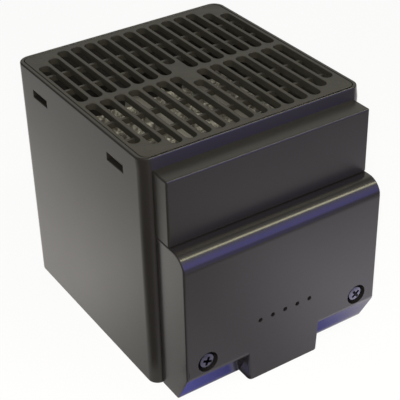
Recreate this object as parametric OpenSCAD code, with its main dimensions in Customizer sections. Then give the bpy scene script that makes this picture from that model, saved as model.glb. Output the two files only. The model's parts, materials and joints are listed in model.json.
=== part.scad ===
// Touch-safe fan heater for a control cabinet, clipped on a 35 mm top-hat rail.
// A fan in the floor of the housing drives air up through a PTC heater pack and out of the grille.
// Millimetres. X runs to the right, Y to the back, Z up. The origin lies on the plane of the base,
// under the middle of the whole heater. Y = 0 inside the modules is the front face of the housing.

/* [Housing] */
// Width of the housing
body_w = 85; // [76:0.5:110]
// Depth of the housing without the connection box and the clip
body_d = 85.8; // [77:0.2:110]
// Height of the housing
body_h = 88.5; // [86:0.5:120]
// Thickness of the side walls
wall = 2.3; // [1.8:0.1:2.4]
// Thickness of the floor
floor_t = 3; // [2.4:0.1:4]
// Radius of the upright edges
corner_r = 4.5; // [3:0.5:8]
// Wall left beside the grille at the rim
rim_t = 1.5; // [1.3:0.1:1.7]
// Rounding of the rim's outer edge
rim_r = 0.7; // [0.4:0.1:1.2]

/* [Outlet grille] */
// Thickness of the grille plate
grille_t = 2.4; // [2:0.1:3.4]
// Gap between the grille and the rim
grille_gap = 0.15; // [0.05:0.05:0.3]
// Number of slot columns
slot_cols = 15; // [11:2:17]
// Width of a rib between two slots
rib_w = 1.42; // [1:0.02:2]
// Plate left beside the outermost slots
side_border = 1.28; // [1:0.02:3]
// Plate left in front of and behind the slots
end_border = 2.25; // [1.5:0.05:5]
// Step by which each of the two outermost columns is shorter than the one inside it
corner_step = 3.55; // [2:0.05:6]
// Width of the bar across the middle
mid_bar = 2.5; // [2:0.1:5]
// Length of the closed plate in the middle column
centre_plate = 15.2; // [8:0.1:24]
// Depth of the cross bars below the top face
bar_drop = 1.5; // [0.8:0.1:1.8]
// Height of the cross bars
bar_h = 2; // [1.2:0.1:4]
// Width of the cross bars
bar_w = 1.2; // [0.8:0.1:2.5]

/* [Latches] */
// Length of a latch window in the side wall
window_w = 10; // [6:0.5:16]
// Height of a latch window
window_h = 2.7; // [2:0.1:5]
// Middle of the windows below the rim
window_drop = 8.4; // [7:0.1:14]
// Middle of the windows from the front and back faces
window_in = 17.2; // [13:0.1:26]
// Thickness of a latch arm
arm_t = 1.3; // [1:0.1:2]
// Reach of a latch hook into its window
hook_reach = 1.1; // [0.6:0.1:1.5]
// Gap around a latch hook and behind its arm
latch_gap = 0.2; // [0.1:0.05:0.4]

/* [Connection box] */
// Distance of its sides from the sides of the housing
box_inset = 3.3; // [2:0.1:8]
// Top of the upper step below the rim
upper_drop = 4.1; // [3:0.1:10]
// Reach of the upper step in front of the housing
upper_reach = 7.9; // [7:0.1:11]
// Height of the cover
cover_h = 60.4; // [56:0.2:70]
// Reach of the cover in front of the housing
cover_reach = 16.1; // [15.5:0.1:24]
// Gap between the cover and the upper step
seam = 0.3; // [0.1:0.05:0.6]
// Rounding of the cover's upper edge
cover_round = 6; // [3:0.5:7]
// Run of the slope under the cover's front
slope_back = 6.5; // [4:0.1:7]
// Rise of that slope
slope_up = 12.2; // [8:0.1:13]
// Rounding where the slope meets the front
slope_round = 4; // [1:0.5:6]
// Width of the cable-entry tab
tab_w = 29; // [20:0.5:40]
// Wall of the connection box
box_wall = 2.2; // [1.6:0.1:2.4]
// Rounding of its edges
box_r = 0.7; // [0.3:0.1:1.5]
// Diameter of the cable entry
cable_d = 7.4; // [5:0.1:9]
// Middle of the cable entry in front of the housing
cable_in = 5.6; // [5:0.1:7]

/* [Cover screws] */
// Distance of the screws from the sides of the connection box
screw_in = 8.1; // [6:0.1:14]
// Height of the screws above the base
screw_z = 16.8; // [15:0.1:24]
// Diameter of the counterbores
sink_d = 7.6; // [7:0.1:9]
// Depth of the counterbores
sink_depth = 3; // [2.8:0.1:4]
// Diameter of the screw heads
head_d = 6.5; // [5.5:0.1:6.7]
// Height of the screw heads
head_h = 2.7; // [1.8:0.1:2.8]
// Diameter of the screw shanks
shank_d = 3; // [2.5:0.1:3.6]
// Depth of the pilot holes in the bosses of the housing
pilot_depth = 8; // [5:0.5:10]

/* [Terminals] */
// Distance between two poles
pole_pitch = 5.08; // [5:0.01:5.6]
// Number of poles
pole_count = 5; // [3:1:5]
// Height of the clamp screws and their probe holes above the base
probe_z = 24.5; // [24:0.1:28]
// Diameter of the probe holes in the cover
probe_d = 1.6; // [1:0.1:2.5]
// Thickness of the terminal board
board_t = 1.6; // [1:0.1:1.8]
// Distance of the board from the housing
board_lift = 1.7; // [1.5:0.1:2.2]
// Depth of the terminal block in front of the board
block_depth = 9.4; // [8:0.1:9.6]

/* [Fan] */
// Gap between the fan and the walls of the housing
fan_gap = 0.2; // [0.1:0.1:2]
// Height of the fan
fan_h = 25; // [23:0.5:27]
// Thinnest wall of the fan's duct
duct_t = 2; // [1.6:0.1:4]
// Middle of the fan's screw holes from its sides
hole_in = 4.25; // [4:0.05:5]
// Height of the pads under the fan
fan_lift = 5; // [4:0.5:8]
// Diameter of the rotor hub
hub_d = 35; // [34:0.5:42]
// Gap between the blade tips and the bore
tip_gap = 1.1; // [0.6:0.1:2]
// Number of blades
blade_count = 7; // [5:1:7]
// Thickness of the blades
blade_t = 1.5; // [1:0.1:2]
// Diameter of the shaft
shaft_d = 3; // [2.5:0.1:3.4]
// Running gap of the shaft in its bearings, on the radius
shaft_gap = 0.03; // [0.01:0.01:0.08]

/* [Heater pack] */
// Top of the heater pack below the rim
pack_drop = 26; // [24:0.5:32]
// Thickness of the fin sheet
fin_t = 0.4; // [0.2:0.05:0.6]
// Distance between two walls of a corrugated fin
fin_pitch = 3.5; // [2.4:0.1:5]
// Thickness of a heater bar
ptc_t = 6; // [4:0.1:8]
// Thickness of the plates between the fins
plate_t = 0.8; // [0.5:0.1:1.5]
// Gap between the pack and its frame
pack_gap = 0.2; // [0.1:0.05:0.4]
// Diameter of the inner leads
lead_d = 2.2; // [1.6:0.1:2.4]

/* [Rail clip] */
// Width of the rail
rail_w = 35; // [35:0.5:36]
// Thickness of the rail's flange
rail_t = 1; // [1:0.1:1.5]
// Height of the rail's middle above the base
rail_z = 59; // [56:0.5:62]
// Width of the clip
clip_w = 32; // [24:1:50]
// Thickness of the clip's plate
clip_t = 4; // [3.4:0.1:5]
// Thickness of the clip's hooks
clip_hook = 3.2; // [2.4:0.1:4]
// Length of flange that a hook takes hold of
clip_grip = 2.8; // [2:0.1:3.5]
// Gap between the clip and the rail
rail_gap = 0.3; // [0.1:0.05:0.5]

/* [Hidden] */
$fn = 64;
cut = 1;
mid = body_d / 2;
inner_w = body_w - 2 * wall;
inner_d = body_d - 2 * wall;

// Grille field
grille_w = body_w - 2 * (rim_t + grille_gap);
grille_d = body_d - 2 * (rim_t + grille_gap);
slot_pitch = (grille_w - 2 * side_border + rib_w) / slot_cols;
slot_w = slot_pitch - rib_w;
slot_end = grille_d / 2 - end_border;
edge_col = (slot_cols - 1) / 2;
window_z = body_h - window_drop;
window_y = mid - window_in;

// Connection box
box_w = body_w - 2 * box_inset;
screw_span = box_w - 2 * screw_in;
upper_z0 = cover_h + seam;
upper_z1 = body_h - upper_drop;
boss_seat = cover_reach - sink_depth - 2.5;
boss_d = 2 * shank_d + 1.2;
screw_fit = 0.05;

// Terminals
board_margin = 7.5;
board_h = 33;
board_w = pole_pitch * pole_count + 2 * board_margin;
board_z0 = probe_z - board_margin;
board_z1 = board_z0 + board_h;
board_front = board_lift + board_t;
board_hole_x = board_w / 2 - 3.7;
board_hole_z = board_z1 - 4;
small_screw_d = 2.2;
block_w = pole_pitch * pole_count + 1.2;
cage_w = pole_pitch - 1.3;
cage_depth = 5.4;
cage_back = board_front + 1.8;
cage_z0 = probe_z - 3.5;
cage_h = 7;
cage_fit = 0.1;
clamp_d = 2.4;

// Fan
fan_size = min(body_w, body_d) - 2 * (wall + fan_gap);
fan_bore = fan_size - 2 * duct_t;
hole_span = fan_size - 2 * hole_in;
fan_z0 = floor_t + fan_lift;
fan_z1 = fan_z0 + fan_h;
flange_t = 4;
base_t = 3;
tube_d = 9;
bearing_d = 6.4;
bearing_h = 3.5;
tube_z1 = fan_z1 - 7;
hub_z0 = fan_z0 + base_t + 1;
hub_z1 = fan_z1 - 3;
hub_top_t = 2;
hub_wall = 1.7;
rotor_gap = 0.6;
magnet_t = 2;
magnet_lift = 2;
magnet_h = 9;
stator_lift = 2.5;
stator_h = 8;
pole_t = 4;
blade_r = fan_bore / 2 - tip_gap;
stack_d = 3.2;
stack_hole_d = 4.3;
stack_head_d = 5.6;
stack_head_h = 2.4;

// Heater pack
pack_z1 = body_h - pack_drop;
frame_z1 = pack_z1 + 0.5;
frame_h = frame_z1 - fan_z1;
frame_side = 1.4;
frame_end = 2.2;
frame_w = fan_size - 0.4;
lug_h = 4.5;
pack_z0 = fan_z1 + lug_h + stack_head_h + 1;
fin_h = pack_z1 - pack_z0;
pack_w = frame_w - 2 * frame_side - 2 * pack_gap;
pack_d = frame_w - 2 * frame_end - 2 * pack_gap;
bar_len = frame_w - 0.6;
fin_w = (pack_w - 4 * plate_t - 3 * ptc_t) / 6;
bar_step = 2 * fin_w + plate_t + ptc_t;
tab_h = 5;
tab_len = 4;
tab_t = 0.8;
live_y = mid - pack_d / 2 + 4;
neutral_y = live_y + tab_len + 3;
lead_z = pack_z1 + tab_h + lead_d / 2;
lead_drop = 2 * lead_d + 0.7;
lead_tail = 10;
exit_z = max(upper_z0 + 6, lead_z + lead_drop);
lead_x = 4;
cutout_w = 14;
cutout_h = 10;
cutout_t = 2;
cutout_cap = 4;

// Rail clip
clip_screw_x = 9;
clip_screw_z = max(rail_z + 5, frame_z1 + small_screw_d + 1.8);
clip_head_d = 5.6;
clip_boss = 4;
clip_reach = clip_t + rail_t + rail_gap + clip_hook;
flex_gap = 1;

// Middle of the whole heater from front to back
mid_y = (body_d + clip_reach - cover_reach) / 2;

function unit(v) = v / norm(v);
function backwards(p) = [for (i = [len(p) - 1 : -1 : 0]) p[i]];

// Points at a distance h beside a line of points, mitred at the bends
function beside(p, h) = [
  for (i = [0 : len(p) - 1])
    let (
      j = max(i, 1),
      k = min(i, len(p) - 2),
      before = unit(p[j] - p[j - 1]),
      after = unit(p[k + 1] - p[k]),
      across = unit([-(before + after)[1], (before + after)[0]])
    )
    p[i] + across * h / (across * [-before[1], before[0]])
];

// Middles of the cross bars that part a half field of slots into three
function bar_rows(far) = [
  for (s = [-1, 1], k = [1, 2]) s * (mid_bar / 2 + (far - mid_bar / 2) * k / 3)
];

// Puts a piece into the common frame
module placed() {
  translate([0, -mid_y, 0]) children();
}

// What lies outside the arc of radius r at the corner p between a and b
module corner_trim(a, p, b, r) {
  u = unit(a - p);
  v = unit(b - p);
  half = acos(u * v) / 2;
  c = p + unit(u + v) * r / sin(half);
  ta = p + u * r / tan(half);
  tb = p + v * r / tan(half);
  difference() {
    polygon([c, ta + (ta - c) * 0.1, p + (p - c) * 0.1, tb + (tb - c) * 0.1]);
    translate(c) circle(r);
  }
}

// Outline through points, each outer corner rounded to its own radius
module soft_outline(points, radii) {
  n = len(points);
  difference() {
    polygon(points);
    for (i = [0 : n - 1])
      if (radii[i] > 0)
        corner_trim(points[(i + n - 1) % n], points[i], points[(i + 1) % n], radii[i]);
  }
}

module rounded_rect(w, d, r) {
  square([w, d - 2 * r], center = true);
  square([w - 2 * r, d], center = true);
  for (x = [-1, 1], y = [-1, 1])
    translate([x * (w / 2 - r), y * (d / 2 - r)]) circle(r);
}

// Carries an upright wall section around a rounded rectangle; x = 0 of the section is the outer face
module around(w, d, r) {
  for (k = [0 : 3]) {
    across = k % 2 == 0 ? w : d;
    along = k % 2 == 0 ? d : w;
    rotate(90 * k) {
      translate([across / 2, 0, 0])
        rotate([90, 0, 0]) linear_extrude(along - 2 * r, center = true) children();
      translate([across / 2 - r, along / 2 - r, 0])
        rotate_extrude(angle = 90) translate([r, 0]) children();
    }
  }
}

// Carries a side view, drawn in Y and Z, across a width
module across_x(w) {
  rotate([90, 0, 90]) linear_extrude(w, center = true) children();
}

// Rod along Y from the front face y0 to the back face y1
module rod_y(d, y0, y1) {
  translate([0, y1, 0]) rotate([90, 0, 0]) cylinder(d = d, h = y1 - y0);
}

module rod_z(d, z0, z1) {
  translate([0, 0, z0]) cylinder(d = d, h = z1 - z0);
}

// Box between two corners
module block(a, b) {
  translate(a) cube(b - a);
}

// Slot along Y with round ends, from y0 to y1
module slot(w, y0, y1) {
  translate([-w / 2, y0 + w / 2]) square([w, y1 - y0 - w]);
  for (y = [y0 + w / 2, y1 - w / 2]) translate([0, y]) circle(d = w);
}

// Two halves of slots; the outermost columns stop earlier, the middle one leaves the centre closed
module slot_field(far, step, centre) {
  for (i = [-edge_col : edge_col]) {
    short = max(0, abs(i) - edge_col + 2) * step;
    near = i == 0 ? centre / 2 : mid_bar / 2;
    for (s = [0, 1])
      mirror([0, s]) translate([i * slot_pitch, 0]) slot(slot_w, near, far - short);
  }
}

// Pan-head screw along +Y with a cross recess, the underside of its head at y = 0
module pan_screw(head, height, shank, length) {
  difference() {
    union() {
      rod_y(head, -height, 0);
      rod_y(shank, -height / 2, length);
    }
    for (a = [0, 90])
      rotate([0, a, 0])
        block([-head * 0.3, -height - cut, -head * 0.08], [head * 0.3, -height * 0.4, head * 0.08]);
  }
}

// Insulated lead along a list of points, with a round bend at each square corner
module lead(points) {
  last = len(points) - 1;
  for (i = [0 : last - 1]) {
    u = unit(points[i + 1] - points[i]);
    a = points[i] + u * (i > 0 ? lead_d : 0);
    b = points[i + 1] - u * (i < last - 1 ? lead_d : 0);
    translate(a)
      rotate([0, acos(u[2]), atan2(u[1], u[0])]) cylinder(d = lead_d, h = norm(b - a));
  }
  for (i = [1 : 1 : last - 1]) {
    u = unit(points[i] - points[i - 1]);
    v = unit(points[i + 1] - points[i]);
    w = cross(u, v);
    c = points[i] + (v - u) * lead_d;
    multmatrix([[-v[0], u[0], w[0], c[0]], [-v[1], u[1], w[1], c[1]], [-v[2], u[2], w[2], c[2]]])
      rotate_extrude(angle = 90) translate([lead_d, 0]) circle(d = lead_d);
  }
}

// The four corners where the fan and the frame are screwed down
module at_corners() {
  for (x = [-1, 1], y = [-1, 1])
    translate([x * hole_span / 2, mid + y * hole_span / 2, 0]) children();
}

// The two cover screws
module at_cover_screws() {
  for (s = [-1, 1]) translate([s * screw_span / 2, 0, screw_z]) children();
}

module at_board_screws() {
  for (s = [-1, 1]) translate([s * board_hole_x, 0, board_hole_z]) children();
}

module at_poles() {
  for (i = [0 : pole_count - 1])
    translate([(i - (pole_count - 1) / 2) * pole_pitch, 0, 0]) children();
}

module at_clip_screws() {
  for (s = [-1, 1]) translate([s * clip_screw_x, body_d, clip_screw_z]) children();
}

// The four latches, on the right side as drawn and mirrored to the left
module at_latches() {
  for (s = [0, 1], y = [-1, 1])
    mirror([s, 0, 0]) translate([0, mid + y * window_y, 0]) children();
}

// Section of the housing's wall, with the seat for the grille inside the rim
module wall_section() {
  soft_outline(
    [
      [0, 0], [0, body_h], [-rim_t, body_h], [-rim_t, body_h - grille_t],
      [-wall, body_h - grille_t], [-wall, 0]
    ],
    [0, rim_r, 0, 0, 0, 0]
  );
}

// Floor with inlet slots and sunk cross bars, and pads for the fan
module housing_floor() {
  inlet_end = hole_span / 2 + 1;
  inlet_step = stack_hole_d + 3;
  translate([0, mid, 0]) {
    difference() {
      linear_extrude(floor_t) rounded_rect(body_w - wall, body_d - wall, corner_r - wall / 2);
      translate([0, 0, -cut])
        linear_extrude(floor_t + 2 * cut) slot_field(inlet_end, inlet_step, centre_plate);
    }
    for (y = bar_rows(inlet_end))
      block([-inner_w / 2, y - bar_w / 2, floor_t * 0.3], [inner_w / 2, y + bar_w / 2, floor_t]);
  }
  at_corners() rod_z(2 * stack_hole_d - 0.6, floor_t / 2, fan_z0);
}

// Upper step of the connection box, open below towards the cover
module upper_step() {
  difference() {
    intersection() {
      across_x(box_w)
        soft_outline(
          [
            [wall / 2, upper_z0], [-upper_reach, upper_z0],
            [-upper_reach, upper_z1], [wall / 2, upper_z1]
          ],
          [0, 0, box_r, 0]
        );
      linear_extrude(body_h)
        soft_outline(
          [
            [-box_w / 2, wall / 2], [-box_w / 2, -upper_reach],
            [box_w / 2, -upper_reach], [box_w / 2, wall / 2]
          ],
          [0, box_r, box_r, 0]
        );
      translate([0, wall, 0]) rotate([90, 0, 0]) linear_extrude(2 * upper_reach)
        soft_outline(
          [
            [-box_w / 2, upper_z0], [box_w / 2, upper_z0],
            [box_w / 2, upper_z1], [-box_w / 2, upper_z1]
          ],
          [0, 0, box_r, box_r]
        );
    }
    block(
      [-box_w / 2 + box_wall, -upper_reach + box_wall, upper_z0 - cut],
      [box_w / 2 - box_wall, 0, upper_z1 - box_wall]
    );
  }
}

module housing() {
  placed() color("#2b2a2c") difference() {
    union() {
      translate([0, mid, 0]) around(body_w, body_d, corner_r) wall_section();
      housing_floor();
      upper_step();
      at_cover_screws() rod_y(boss_d, -boss_seat, wall / 2);
      at_board_screws() rod_y(2 * small_screw_d + 1.6, -board_lift, wall / 2);
      at_clip_screws() rod_y(2 * small_screw_d + 1.6, -wall - clip_boss, -wall / 2);
    }
    at_latches()
      block(
        [inner_w / 2 - cut, -window_w / 2, window_z - window_h / 2],
        [body_w / 2 + cut, window_w / 2, window_z + window_h / 2]
      );
    at_corners() rod_z(stack_d + 2 * screw_fit, floor_t * 0.4, fan_z0 + cut);
    at_cover_screws() rod_y(shank_d + 2 * screw_fit, -boss_seat - cut, pilot_depth - boss_seat);
    at_board_screws() rod_y(small_screw_d + 2 * screw_fit, -board_lift - cut, wall * 0.6);
    at_clip_screws() rod_y(small_screw_d + 2 * screw_fit, -wall - clip_boss + 1, cut);
    for (s = [-1, 1]) translate([s * lead_x, 0, exit_z]) rod_y(lead_d + 1, -cut / 2, wall + cut);
    translate([-hole_span / 2 + lead_x, 0, probe_z]) rod_y(lead_d + 1, -cut / 2, wall + cut);
  }
}

// Latch arm under the edge of the grille, with a hook that fills most of its window
module latch() {
  face = inner_w / 2 - latch_gap;
  half = window_w / 2 - latch_gap;
  top = window_z + window_h / 2 - latch_gap;
  bottom = window_z - window_h / 2 + latch_gap;
  block([face - arm_t, -half, bottom - 1], [face, half, body_h - bar_drop]);
  translate([0, half, 0]) rotate([90, 0, 0]) linear_extrude(2 * half)
    polygon([
      [face - arm_t / 2, top], [inner_w / 2 + hook_reach, top],
      [inner_w / 2 + hook_reach, (top + bottom) / 2], [face - arm_t / 2, bottom - 1]
    ]);
}

module outlet_grille() {
  placed() color("#333234") union() {
    translate([0, mid, body_h - grille_t]) linear_extrude(grille_t) difference() {
      rounded_rect(grille_w, grille_d, corner_r - rim_t - grille_gap);
      slot_field(slot_end, corner_step, centre_plate);
    }
    for (y = bar_rows(slot_end)) {
      half = grille_w / 2 - side_border - rib_w * 0.2;
      translate([0, mid + y, body_h - bar_drop - bar_h])
        block([-half, -bar_w / 2, 0], [half, bar_w / 2, bar_h]);
    }
    at_latches() latch();
  }
}

// Outer shape of the cover: rounded above, sloped below, with the tab left full in the middle
module cover_outside() {
  intersection() {
    union() {
      across_x(box_w)
        soft_outline(
          [
            [0, 0], [slope_back - cover_reach, 0], [-cover_reach, slope_up],
            [-cover_reach, cover_h], [0, cover_h]
          ],
          [0, 0, slope_round, cover_round, 0]
        );
      across_x(tab_w)
        polygon([
          [0, 0], [-cover_reach, 0], [-cover_reach, slope_up + slope_round], [0, slope_up + slope_round]
        ]);
    }
    linear_extrude(cover_h)
      soft_outline(
        [[-box_w / 2, 0], [-box_w / 2, -cover_reach], [box_w / 2, -cover_reach], [box_w / 2, 0]],
        [0, box_r, box_r, 0]
      );
  }
}

// Hollow of the cover, open to the housing and up into the upper step
module cover_inside() {
  steep = atan2(slope_up, slope_back);
  front = box_wall - cover_reach;
  foot = slope_back - cover_reach + box_wall * tan(steep / 2);
  bend = slope_up + box_wall * tan((90 - steep) / 2);
  across_x(box_w - 2 * box_wall)
    soft_outline(
      [
        [cut, box_wall], [foot, box_wall], [front, bend],
        [front, cover_h - box_wall], [cut, cover_h - box_wall]
      ],
      [0, 0, 0, cover_round - box_wall, 0]
    );
  block(
    [box_wall - tab_w / 2, front, box_wall],
    [tab_w / 2 - box_wall, cut, slope_up + slope_round]
  );
  block(
    [box_wall - box_w / 2, box_wall - upper_reach, cover_h / 2],
    [box_w / 2 - box_wall, cut, cover_h + cut]
  );
}

module terminal_cover() {
  placed() color("#39373b") difference() {
    union() {
      difference() {
        cover_outside();
        cover_inside();
      }
      intersection() {
        cover_outside();
        at_cover_screws() rod_y(sink_d + 3.6, -cover_reach, -boss_seat);
      }
    }
    at_cover_screws() {
      rod_y(sink_d, -cover_reach - cut, sink_depth - cover_reach);
      rod_y(shank_d + 0.6, -cover_reach, cut);
    }
    at_poles() translate([0, 0, probe_z]) rod_y(probe_d, -cover_reach - cut, cut);
    translate([0, -cable_in, 0]) rod_z(cable_d, -cut, box_wall + cut);
  }
}

module cover_screws() {
  placed() color("#5a5a60") at_cover_screws()
    translate([0, sink_depth - cover_reach, 0])
      rotate([0, 22, 0]) pan_screw(head_d, head_h, shank_d, pilot_depth + 1.5);
}

module terminal_board() {
  placed() color("#2f5a3a") difference() {
    block([-board_w / 2, -board_front, board_z0], [board_w / 2, -board_lift, board_z1]);
    at_board_screws() rod_y(small_screw_d + 0.4, -board_front - cut, cut - board_lift);
  }
}

module board_screws() {
  placed() color("#b9b9b6") at_board_screws()
    translate([0, -board_front, 0])
      pan_screw(2 * small_screw_d, 1.5, small_screw_d, board_front + wall * 0.4);
}

module terminal_block() {
  placed() color("#d8d4c6") difference() {
    block(
      [-block_w / 2, -board_front - block_depth, cage_z0 - 1.5],
      [block_w / 2, -board_front, cage_z0 + cage_h + 1.5]
    );
    at_poles() {
      block(
        [-cage_w / 2 - cage_fit, -cage_back - cage_depth - cage_fit, cage_z0 - 1.5 - cut],
        [cage_w / 2 + cage_fit, -cage_back, cage_z0 + cage_h]
      );
      translate([0, 0, probe_z])
        rod_y(cage_w, -board_front - block_depth - cut, -cage_back - cage_depth);
    }
  }
}

module terminal_clamps() {
  placed() color("#c9b56c") at_poles() difference() {
    block([-cage_w / 2, -cage_back - cage_depth, cage_z0], [cage_w / 2, -cage_back, cage_z0 + cage_h]);
    block(
      [-cage_w / 2 + 0.7, -cage_back - cage_depth + 1.6, cage_z0 - cut],
      [cage_w / 2 - 0.7, -cage_back - 0.7, cage_z0 + cage_h + cut]
    );
    translate([0, 0, probe_z])
      rod_y(clamp_d + 2 * screw_fit, -cage_back - cage_depth - cut, -cage_back - 2);
  }
}

module terminal_screws() {
  placed() color("#b9b9b6") at_poles()
    translate([0, -cage_back - cage_depth, probe_z]) difference() {
      union() {
        rod_y(cage_w - 0.4, -1.2, 0);
        rod_y(clamp_d, -0.6, cage_depth - 2.4);
      }
      block([-cage_w, -1.2 - cut, -0.3], [cage_w, -0.6, 0.3]);
    }
}

// Square flanges on a round duct, with the motor carried on four struts
module fan_frame() {
  placed() color("#26262a") difference() {
    union() {
      difference() {
        union() {
          for (z = [fan_z0, fan_z1 - flange_t])
            translate([0, mid, z]) linear_extrude(flange_t) rounded_rect(fan_size, fan_size, 4);
          translate([0, mid, 0]) rod_z(fan_size - 0.8, fan_z0, fan_z1);
        }
        translate([0, mid, 0]) rod_z(fan_bore, fan_z0 - cut, fan_z1 + cut);
      }
      translate([0, mid, 0]) {
        rod_z(hub_d, fan_z0, fan_z0 + base_t);
        rod_z(tube_d, fan_z0, tube_z1);
        for (a = [30, 120, 210, 300])
          rotate(a)
            block([hub_d / 2 - 1, -1.5, fan_z0], [fan_bore / 2 + 0.5, 1.5, fan_z0 + base_t]);
      }
    }
    translate([0, mid, 0]) rod_z(bearing_d, fan_z0 + base_t, tube_z1 + cut);
    at_corners() rod_z(stack_hole_d, fan_z0 - cut, fan_z1 + cut);
  }
}

// Laminated core with four poles and their windings
module fan_stator() {
  outer = hub_d - 2 * (hub_wall + magnet_t + rotor_gap);
  z0 = hub_z0 + stator_lift;
  z1 = z0 + stator_h;
  placed() color("#a8602e") translate([0, mid, 0]) {
    translate([0, 0, z0]) linear_extrude(z1 - z0) difference() {
      union() {
        circle(d = tube_d + pole_t);
        for (a = [0, 90]) rotate(a) square([outer - pole_t / 2, pole_t], center = true);
        intersection() {
          difference() {
            circle(d = outer);
            circle(d = outer - pole_t);
          }
          for (a = [0, 90]) rotate(a) square([outer, outer * 0.55], center = true);
        }
      }
      circle(d = tube_d);
    }
    for (a = [0, 90, 180, 270])
      rotate(a)
        block(
          [(tube_d + pole_t) / 2, -pole_t * 0.85, z0 + stator_h / 8],
          [outer / 2 - pole_t * 0.55, pole_t * 0.85, z1 - stator_h / 8]
        );
  }
}

module fan_bearings() {
  placed() color("#b08a4a") translate([0, mid, 0])
    for (z = [fan_z0 + base_t + 1.2, tube_z1 - bearing_h])
      difference() {
        rod_z(bearing_d, z, z + bearing_h);
        rod_z(shaft_d + 2 * shaft_gap, z - cut, z + bearing_h + cut);
      }
}

module fan_shaft() {
  placed() color("#c4c4c6") translate([0, mid, 0])
    rod_z(shaft_d, fan_z0 + base_t + 0.5, hub_z1 - 0.6);
}

// One cambered blade: the part of a tube across the air stream that lies in the swept ring
module blade() {
  camber_r = 24;
  lean = 8;
  z0 = hub_z0 + 1;
  z1 = hub_z1 - 0.5;
  chord = norm([2 * lean, z1 - z0]);
  drop = sqrt(camber_r * camber_r - chord * chord / 4);
  cy = -drop * (z1 - z0) / chord;
  cz = (z0 + z1) / 2 + drop * 2 * lean / chord;
  intersection() {
    rod_z(2 * blade_r, z0, z1);
    block([hub_d / 2 - 0.5, cy / 2 - lean, z0 - cut], [fan_bore / 2, 2 * lean, z1 + cut]);
    translate([0, cy, cz]) rotate([0, 90, 0]) difference() {
      cylinder(r = camber_r + blade_t / 2, h = fan_bore / 2);
      translate([0, 0, -cut]) cylinder(r = camber_r - blade_t / 2, h = fan_bore / 2 + 2 * cut);
    }
  }
}

// Cup-shaped hub over the stator, with cambered blades
module fan_rotor() {
  placed() color("#2a2a2e") translate([0, mid, 0]) difference() {
    union() {
      rod_z(hub_d, hub_z0, hub_z1);
      for (i = [0 : blade_count - 1]) rotate(i * 360 / blade_count) blade();
    }
    difference() {
      rod_z(hub_d - 2 * hub_wall, hub_z0 - cut, hub_z1 - hub_top_t);
      rod_z(2 * shaft_d + 2, tube_z1 + 0.6, hub_z1);
    }
    rod_z(shaft_d, hub_z0, hub_z1 - 0.6);
  }
}

module rotor_magnet() {
  placed() color("#3c3a3a") translate([0, mid, 0]) difference() {
    rod_z(hub_d - 2 * hub_wall, hub_z0 + magnet_lift, hub_z0 + magnet_lift + magnet_h);
    rod_z(hub_d - 2 * hub_wall - 2 * magnet_t, hub_z0, hub_z1);
  }
}

// Frame that stands on the fan, with notches in its ends for the heater bars
module heater_frame() {
  placed() color("#1d1c1c") difference() {
    union() {
      translate([0, mid, fan_z1]) linear_extrude(frame_h) difference() {
        rounded_rect(frame_w, frame_w, 3);
        square([frame_w - 2 * frame_side, frame_w - 2 * frame_end], center = true);
      }
      intersection() {
        at_corners() rod_z(2 * stack_hole_d, fan_z1, fan_z1 + lug_h);
        translate([0, mid, 0]) linear_extrude(frame_z1) rounded_rect(frame_w, frame_w, 3);
      }
    }
    for (i = [-1 : 1])
      translate([i * bar_step, mid, 0])
        block(
          [-ptc_t / 2 - pack_gap / 2, -frame_w / 2 - cut, pack_z0],
          [ptc_t / 2 + pack_gap / 2, frame_w / 2 + cut, frame_z1 + cut]
        );
    at_corners() {
      rod_z(stack_hole_d, fan_z1 - cut, fan_z1 + lug_h + cut);
      rod_z(stack_head_d + 0.5, fan_z1 + lug_h, fan_z1 + lug_h + stack_head_h + 0.5);
    }
  }
}

// Long screws down through the frame and the fan into the floor pads
module stack_screws() {
  seat = fan_z1 + lug_h;
  placed() color("#9a9a9c") at_corners()
    translate([0, 0, seat])
      rotate([-90, 0, 0]) pan_screw(stack_head_d, stack_head_h, stack_d, seat - floor_t * 0.6);
}

// Flat aluminium tube around the PTC stones, with a live and a neutral tab at the front
module heater_bar(i) {
  placed() color("#c3c2bd") translate([i * bar_step, 0, 0]) {
    translate([0, mid, 0])
      block([-ptc_t / 2, -bar_len / 2, pack_z0], [ptc_t / 2, bar_len / 2, pack_z1]);
    for (y = [live_y, neutral_y])
      translate([0, y, pack_z1 - 1])
        block([-tab_t / 2, -tab_len / 2, 0], [tab_t / 2, tab_len / 2, tab_h + 1]);
  }
}

module heater_bar_left() { heater_bar(-1); }
module heater_bar_middle() { heater_bar(0); }
module heater_bar_right() { heater_bar(1); }

// Corrugated sheet that runs from front to back beside a heater bar
module fin_strip(i) {
  bar = floor((i - 1) / 2) - 1;
  side = i % 2 == 0 ? 1 : -1;
  reach = (fin_w - fin_t) / 2;
  crest = fin_pitch * 0.3;
  walls = floor(pack_d / fin_pitch);
  start = -walls * fin_pitch / 2;
  line = [
    for (k = [0 : walls - 1], e = [0, crest])
      [(k % 2 * 2 - 1) * reach, start + k * fin_pitch + e]
  ];
  placed() color("#d4d3cd")
    translate([bar * bar_step + side * (ptc_t + fin_w) / 2, mid, pack_z0])
      linear_extrude(fin_h) polygon(concat(beside(line, fin_t / 2), backwards(beside(line, -fin_t / 2))));
}

module fin_strip_1() { fin_strip(1); }
module fin_strip_2() { fin_strip(2); }
module fin_strip_3() { fin_strip(3); }
module fin_strip_4() { fin_strip(4); }
module fin_strip_5() { fin_strip(5); }
module fin_strip_6() { fin_strip(6); }

// Flat plate that closes a fin strip away from its bar
module fin_plate(i) {
  placed() color("#cbcac4") translate([(i - 2.5) * bar_step, mid, 0])
    block([-plate_t / 2, -pack_d / 2, pack_z0], [plate_t / 2, pack_d / 2, pack_z1]);
}

module fin_plate_1() { fin_plate(1); }
module fin_plate_2() { fin_plate(2); }
module fin_plate_3() { fin_plate(3); }
module fin_plate_4() { fin_plate(4); }

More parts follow.
